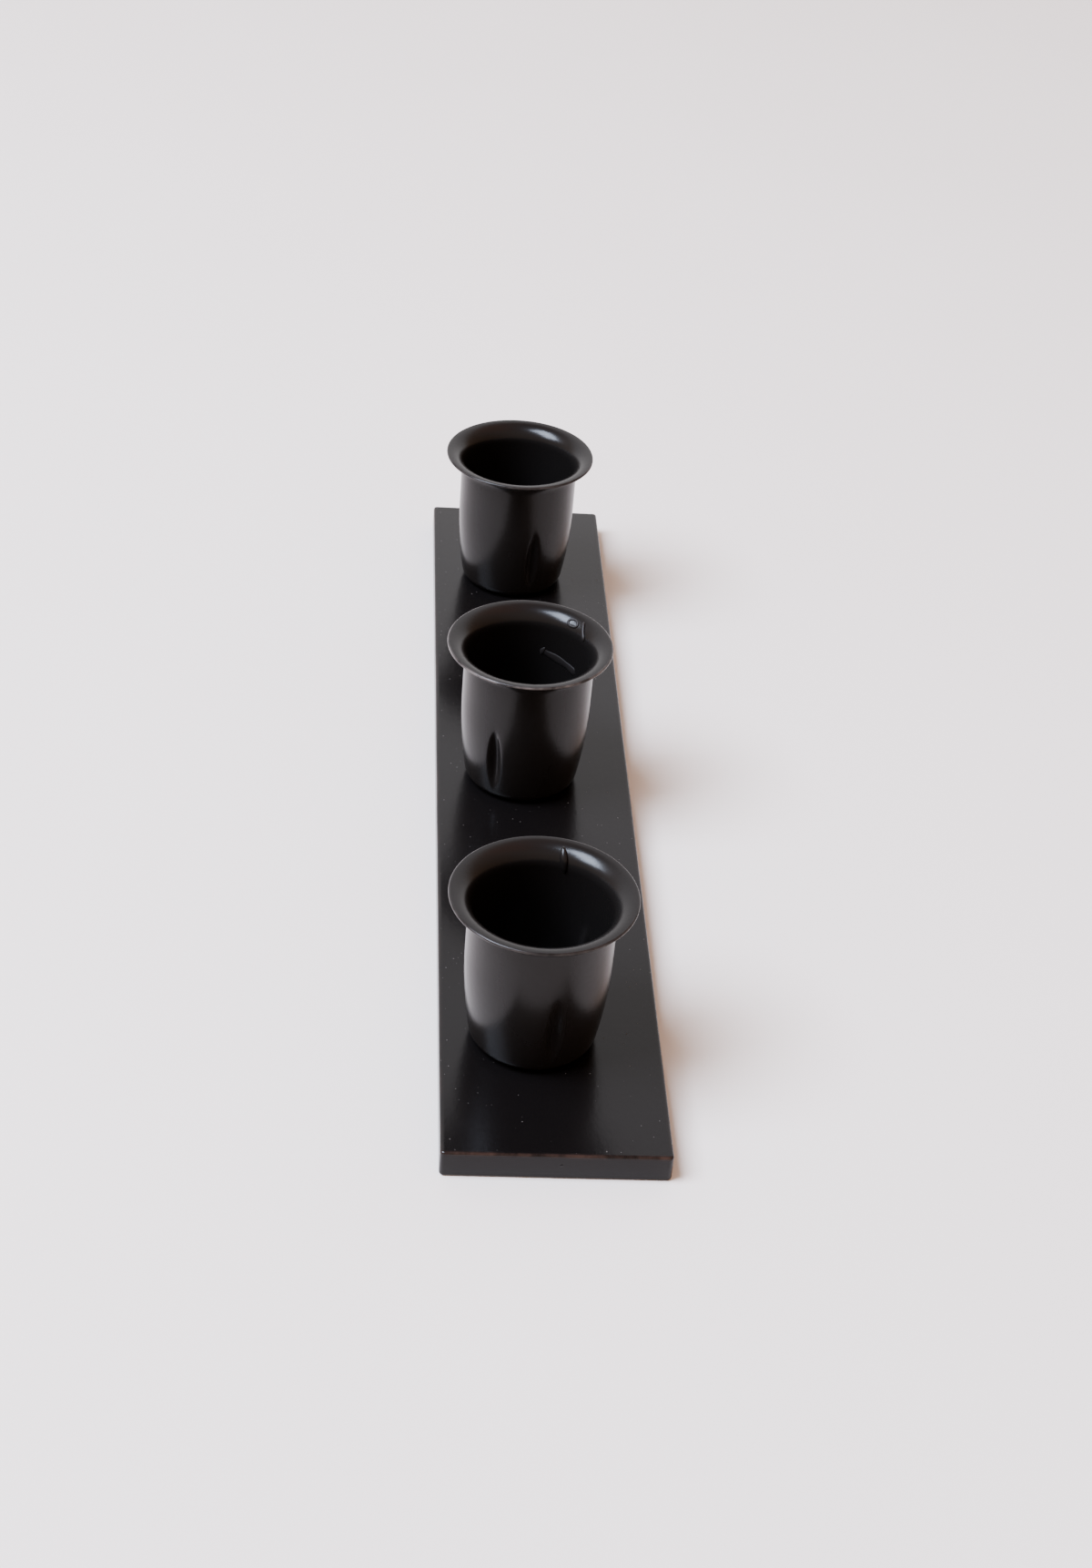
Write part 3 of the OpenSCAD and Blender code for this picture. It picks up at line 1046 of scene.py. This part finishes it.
@dataclass
class LacquerRun:
    """A thin run of lacquer that set on a surface as it dried, half sunk in it.

    Each stop is a point on the surface and the run's half width there, all in millimetres.
    """

    name: str
    stops: list[tuple[Vector, float]]
    axis: Vector
    slot: str
    ring: bool = False
    flatness: float = 0.4
    steps_between: int = 10

    @classmethod
    def round_bead(
        cls,
        name: str,
        cup: CandleCup,
        bore: float,
        at: tuple[float, float],
        size: tuple[float, float],
        half: float,
    ) -> LacquerRun:
        """Return a run that closes on itself, as a burst bubble leaves on a cup's inner wall.

        Args:
            name: the piece's name.
            cup: the cup it lies in.
            bore: the radius of the cup's bore in millimetres.
            at: the ring's middle, as bearing in degrees and height in millimetres.
            size: half the ring's width and half its height in millimetres.
            half: the run's half width in millimetres.

        Returns:
            The run.
        """
        stops = []
        for turn in (math.tau * i / 8 for i in range(8)):
            bearing = at[0] + math.degrees(size[0] * math.cos(turn) / bore)
            stops.append((cup.inside(bore, bearing, at[1] + size[1] * math.sin(turn)), half))
        return cls(name, stops, cup.centre, cup.slot, ring=True, flatness=0.8)

    def build(self, tree: bpy.types.NodeTree, finish: bpy.types.Material) -> bpy.types.Object:
        """Build the run with the lacquer-run tree and dress it.

        Args:
            tree: the lacquer-run tree.
            finish: the run's lacquer.

        Returns:
            The finished run.
        """
        mesh = bpy.data.meshes.new(self.name)
        count = len(self.stops)
        edges = [(i, i + 1) for i in range(count - 1)] + ([(count - 1, 0)] if self.ring else [])
        mesh.from_pydata([point * MM for point, _ in self.stops], edges, [])
        layer = mesh.attributes.new(BEAD, "FLOAT", "POINT")
        layer.data.foreach_set("value", [half * MM for _, half in self.stops])
        piece = new_object(self.name, mesh)
        values = {"Steps": self.steps_between, "Flatness": self.flatness, "Axis": self.axis, "Finish": finish}
        apply_tree(piece, tree, values)
        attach(piece, BODY)
        log.info("%s: %d faces", piece.name, len(piece.data.polygons))
        return piece


@dataclass
class CupScrew:
    """A slotted pan-head screw that holds one cup down."""

    place: Place
    turn: float
    length: float = 6.0
    core: float = 1.57
    thread_depth: float = 0.42
    pitch: float = 0.7
    point: float = 0.35
    undercut: float = 0.5
    head_round: float = 1.3
    head_foot: float = 0.1
    slot_width: float = 1.2
    slot_depth: float = 1.0
    around: int = 48
    slot: str = "screw_zinc"

    def __post_init__(self) -> None:
        """Take the screw's place and its head's size from the frame."""
        self.node = f"screw_{self.place.value}"
        self.centre, self.head, _, height = standing(self.node)
        self.centre.z += self.length * MM
        self.head_height = height - self.length

    def outline(self) -> Outline:
        """Draw the screw's half section, from its tip up to the middle of its head."""
        line = Outline()
        line.add(0.0, -self.length)
        line.line(self.core - self.point, -self.length, steps=2)
        line.line(self.core, -self.length + self.point, steps=3)
        line.line(self.core, -self.undercut, steps=96, thread=1.0)
        line.line(self.core, 0.0, steps=2)
        line.line(self.head - self.head_foot, 0.0, steps=3)
        line.line(self.head, self.head_foot)
        crown = (self.head - self.head_round, self.head_height - self.head_round)
        line.line(self.head, crown[1], steps=2)
        line.arc(crown, self.head_round, 0, 90, 10)
        line.line(0.0, self.head_height, steps=3)
        return line

    def build(self, tree: bpy.types.NodeTree, finish: ZincPlate) -> bpy.types.Object:
        """Build the screw with the slotted-screw tree and dress it.

        Args:
            tree: the slotted-screw tree.
            finish: the screw's plating.

        Returns:
            The finished screw.
        """
        values = {
            "Around": self.around,
            "Turn": math.radians(self.turn),
            "Centre": self.centre,
            "Pitch": self.pitch * MM,
            "Thread Depth": self.thread_depth * MM,
            "Head Height": self.head_height * MM,
            "Slot Width": self.slot_width * MM,
            "Slot Depth": self.slot_depth * MM,
            "Finish": finish.build(self.centre),
        }
        piece = turn_piece(f"slotted_screw_{self.place.value}", self.outline(), tree, values, sharp=SHARP)
        set_on(piece, self.node)
        return piece


@dataclass
class PlainWasher:
    """A stamped plain washer under one screw's head."""

    place: Place
    hole: float = 2.15
    rolled: float = 0.15
    burr: float = 0.03
    around: int = 72
    slot: str = "washer_zinc"

    def __post_init__(self) -> None:
        """Take the washer's place, width and thickness from the frame."""
        self.node = f"washer_{self.place.value}"
        self.centre, self.rim, _, self.thickness = standing(self.node)

    def outline(self) -> Outline:
        """Draw the washer's section: stamping rolls its upper edges and leaves the lower ones sharp."""
        line = Outline()
        line.add(self.hole, self.burr)
        line.line(self.hole + self.burr, 0.0)
        line.line(self.rim - self.burr, 0.0, steps=4)
        line.line(self.rim, self.burr)
        line.line(self.rim, self.thickness - self.rolled)
        line.arc((self.rim - self.rolled, self.thickness - self.rolled), self.rolled, 0, 90, 4)
        line.line(self.hole + self.rolled, self.thickness, steps=4)
        line.arc((self.hole + self.rolled, self.thickness - self.rolled), self.rolled, 90, 180, 4)
        line.line(self.hole, self.burr)
        return line

    def build(self, tree: bpy.types.NodeTree, finish: ZincPlate) -> bpy.types.Object:
        """Build the washer with the plain-washer tree and dress it.

        Args:
            tree: the plain-washer tree.
            finish: the washer's plating.

        Returns:
            The finished washer.
        """
        values = {
            "Around": self.around,
            "Turn": 0.0,
            "Centre": self.centre,
            "Finish": finish.build(self.centre),
        }
        piece = turn_piece(f"plain_washer_{self.place.value}", self.outline(), tree, values, sharp=SHARP)
        set_on(piece, self.node)
        return piece


# ---------------------------------------------------------------------------------------------
# Studio


@dataclass(frozen=True)
class SoftLight:
    """One area light that looks at the object from a bearing, with its width and height in metres."""

    name: str
    bearing: float
    rise: float
    distance: float
    width: float
    height: float
    watts: float
    colour: str

    def build(self) -> None:
        """Hang the light."""
        lamp = bpy.data.lights.new(self.name, "AREA")
        lamp.shape = "RECTANGLE"
        lamp.size, lamp.size_y = self.width, self.height
        lamp.energy = self.watts
        lamp.color = linear(self.colour)[:3]
        away = direction(self.bearing, self.rise)
        holder = bpy.data.objects.new(self.name, lamp)
        holder.location = away * self.distance
        holder.rotation_euler = away.to_track_quat("Z", "Y").to_euler()
        bpy.context.scene.collection.objects.link(holder)


@dataclass
class Studio:
    """The pale table, the light and the camera."""

    aim: tuple[float, float, float] = (0.00335, 0.00244, 0.005)
    distance: float = 0.4576
    azimuth: float = -5.476
    elevation: float = 35.206
    roll: float = 5.233
    lens: float = 55.0
    table_size: float = 8.0
    back_wall: str = "#e2dfe0"
    side_walls: str = "#a89281"
    warm_side: str = "#a1836c"
    ceiling: str = "#6a5445"
    warm_ceiling: str = "#b97a55"
    room_strength: float = 1.9
    lights: tuple[SoftLight, ...] = (
        SoftLight("window", -74.0, 56.0, 1.6, 0.72, 1.05, 69.0, "#dfebff"),
    )

    def build(self) -> None:
        """Set up the camera, the table, the surroundings and the lights."""
        self._camera()
        self._table()
        self._surroundings()
        for light in self.lights:
            light.build()
        bpy.context.scene.view_settings.look = "AgX - Medium High Contrast"

    def _camera(self) -> None:
        """Stand the camera at its distance from the aim, tipped by its roll."""
        tip = math.radians(self.roll)
        back = direction(self.azimuth, self.elevation)
        right = Vector((0, 0, 1)).cross(back).normalized()
        up = back.cross(right)
        right, up = right * math.cos(tip) + up * math.sin(tip), up * math.cos(tip) - right * math.sin(tip)
        camera = bpy.data.cameras.new("camera")
        camera.lens, camera.sensor_width, camera.clip_start = self.lens, 36.0, 0.01
        holder = bpy.data.objects.new("camera", camera)
        place = Matrix((right, up, back)).transposed().to_4x4()
        place.translation = Vector(self.aim) + back * self.distance
        holder.matrix_world = place
        bpy.context.scene.collection.objects.link(holder)
        bpy.context.scene.camera = holder

    def _table(self) -> None:
        """Lay the table top at the height of the bar's underside."""
        half, height = self.table_size / 2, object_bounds()[0][2]
        mesh = bpy.data.meshes.new("table_top")
        corners = [(-half, -half, height), (half, -half, height), (half, half, height), (-half, half, height)]
        mesh.from_pydata(corners, [], [(0, 1, 2, 3)])
        mesh.materials.append(PaleTable().build())
        new_object("table_top", mesh)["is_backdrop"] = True

    def _surroundings(self) -> None:
        """Surround the scene with pale walls, a dim ceiling and a warm side opposite the window."""
        world = bpy.data.worlds.new("pale_room")
        bpy.context.scene.world = world
        world.use_nodes = True
        tree = world.node_tree
        tree.nodes.clear()
        looking = add_node(tree, "ShaderNodeTexCoord").outputs["Generated"]
        parts = add_node(tree, "ShaderNodeSeparateXYZ", {0: looking}).outputs

        def blend(axis: str, start: float, end: float, first: object, second: object) -> bpy.types.NodeSocket:
            """Blend from one colour to another as the looking direction's part along an axis grows."""
            share = add_node(
                tree,
                "ShaderNodeMapRange",
                {"Value": parts[axis], "From Min": start, "From Max": end},
                interpolation_type="SMOOTHSTEP",
            )
            mix = add_node(tree, "ShaderNodeMix", {0: share, 6: first, 7: second}, data_type="RGBA")
            return mix.outputs[2]

        sides = blend("Y", 0.35, 0.9, linear(self.side_walls), linear(self.warm_side))
        low = blend("X", -0.35, -0.7, sides, linear(self.back_wall))
        high = blend("Y", -0.1, 0.45, linear(self.ceiling), linear(self.warm_ceiling))
        room = blend("Z", 0.7, 0.94, low, high)
        glow = add_node(tree, "ShaderNodeBackground", {"Color": room, "Strength": self.room_strength})
        add_node(tree, "ShaderNodeOutputWorld", {"Surface": glow})


def bore_radius(record: dict, place: Place) -> float:
    """Return a cup's bore radius in millimetres, from the record's own mount."""
    name = f"candle_socket_{place.value}"
    return next(mount["dims"]["r_mm"] for mount in record["mounts"] if mount["name"] == name)


def lacquer_runs(cup: CandleCup, bore: float) -> list[LacquerRun]:
    """Return the runs of lacquer inside a cup, as they set when it was sprayed and hung up.

    Args:
        cup: the cup.
        bore: the radius of its bore in millimetres.

    Returns:
        The runs, none for the far cup.
    """

    def along(name: str, flatness: float, *stops: tuple[float, float, float]) -> LacquerRun:
        """Return a run through stops of bearing, height and half width."""
        points = [(cup.inside(bore, turn, up), half) for turn, up, half in stops]
        return LacquerRun(name, points, cup.centre, cup.slot, flatness=flatness)

    if cup.place is Place.NEAR:
        return [
            along(
                "lacquer_run_near_upright",
                0.6,
                (164.0, 29.2, 0.06), (163.4, 28.8, 0.5), (161.4, 27.6, 0.7), (160.0, 26.2, 0.5),
                (159.4, 25.2, 0.06),
            )
        ]
    if cup.place is Place.MIDDLE:
        return [
            LacquerRun.round_bead("lacquer_ring_middle", cup, bore, (137.5, 28.4), (1.0, 0.5), 0.24),
            along(
                "lacquer_run_middle_short",
                0.5,
                (129.5, 29.2, 0.05), (128.0, 28.9, 0.4), (123.9, 28.1, 0.46), (119.4, 27.2, 0.56),
                (117.6, 26.7, 0.06),
            ),
            along(
                "lacquer_run_middle_slant",
                0.16,
                (166.0, 21.1, 0.1), (163.4, 20.9, 0.95), (160.5, 20.7, 0.55), (148.3, 20.0, 0.85),
                (137.0, 19.5, 0.7), (127.5, 19.0, 0.85), (124.6, 18.9, 0.1),
            ),
        ]
    return []


def main() -> None:
    """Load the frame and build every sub-assembly in order."""
    logging.basicConfig(level=logging.INFO, format="%(name)s: %(message)s")
    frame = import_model()
    Studio().build()

    cups = [
        CandleCup(Place.NEAR, turn=13.0),
        CandleCup(Place.MIDDLE, turn=-30.0, wear=1.0),
        CandleCup(Place.FAR, turn=17.0),
    ]
    bar = BaseBar([cup.centre for cup in cups])
    bar_piece = bar.build(SatinLacquer("satin_black_lacquer_on_bar"))
    cup_lacquer = SatinLacquer(
        "satin_black_lacquer_on_cups",
        film="#1d1b1a",
        thin_film="#615b58",
        roughness=0.25,
        ior=1.34,
        dust_share=0.04,
    ).build()
    run_lacquer = SatinLacquer(
        "dull_black_lacquer_runs", film="#262322", roughness=0.5, dust_share=0.04
    ).build()
    cup_shape, run_shape = cup_tree(), run_tree()
    for cup in cups:
        bore = bore_radius(frame["record"], cup.place)
        cup.build(cup_shape, bore, cup_lacquer)
        for run in lacquer_runs(cup, bore):
            run.build(run_shape, cup_lacquer if cup.place is Place.NEAR else run_lacquer)
    bar.nib().build(run_shape, bar_piece.data.materials[0])
    screw_shape, washer_shape = screw_tree(), washer_tree()
    for place, turn in ((Place.NEAR, 35.0), (Place.MIDDLE, 110.0), (Place.FAR, -20.0)):
        CupScrew(place, turn).build(screw_shape, ZincPlate(f"zinc_plate_on_screw_{place.value}"))
        PlainWasher(place).build(
            washer_shape, ZincPlate(f"zinc_plate_on_washer_{place.value}", roughness=0.36)
        )


if __name__ == "__main__":
    main()
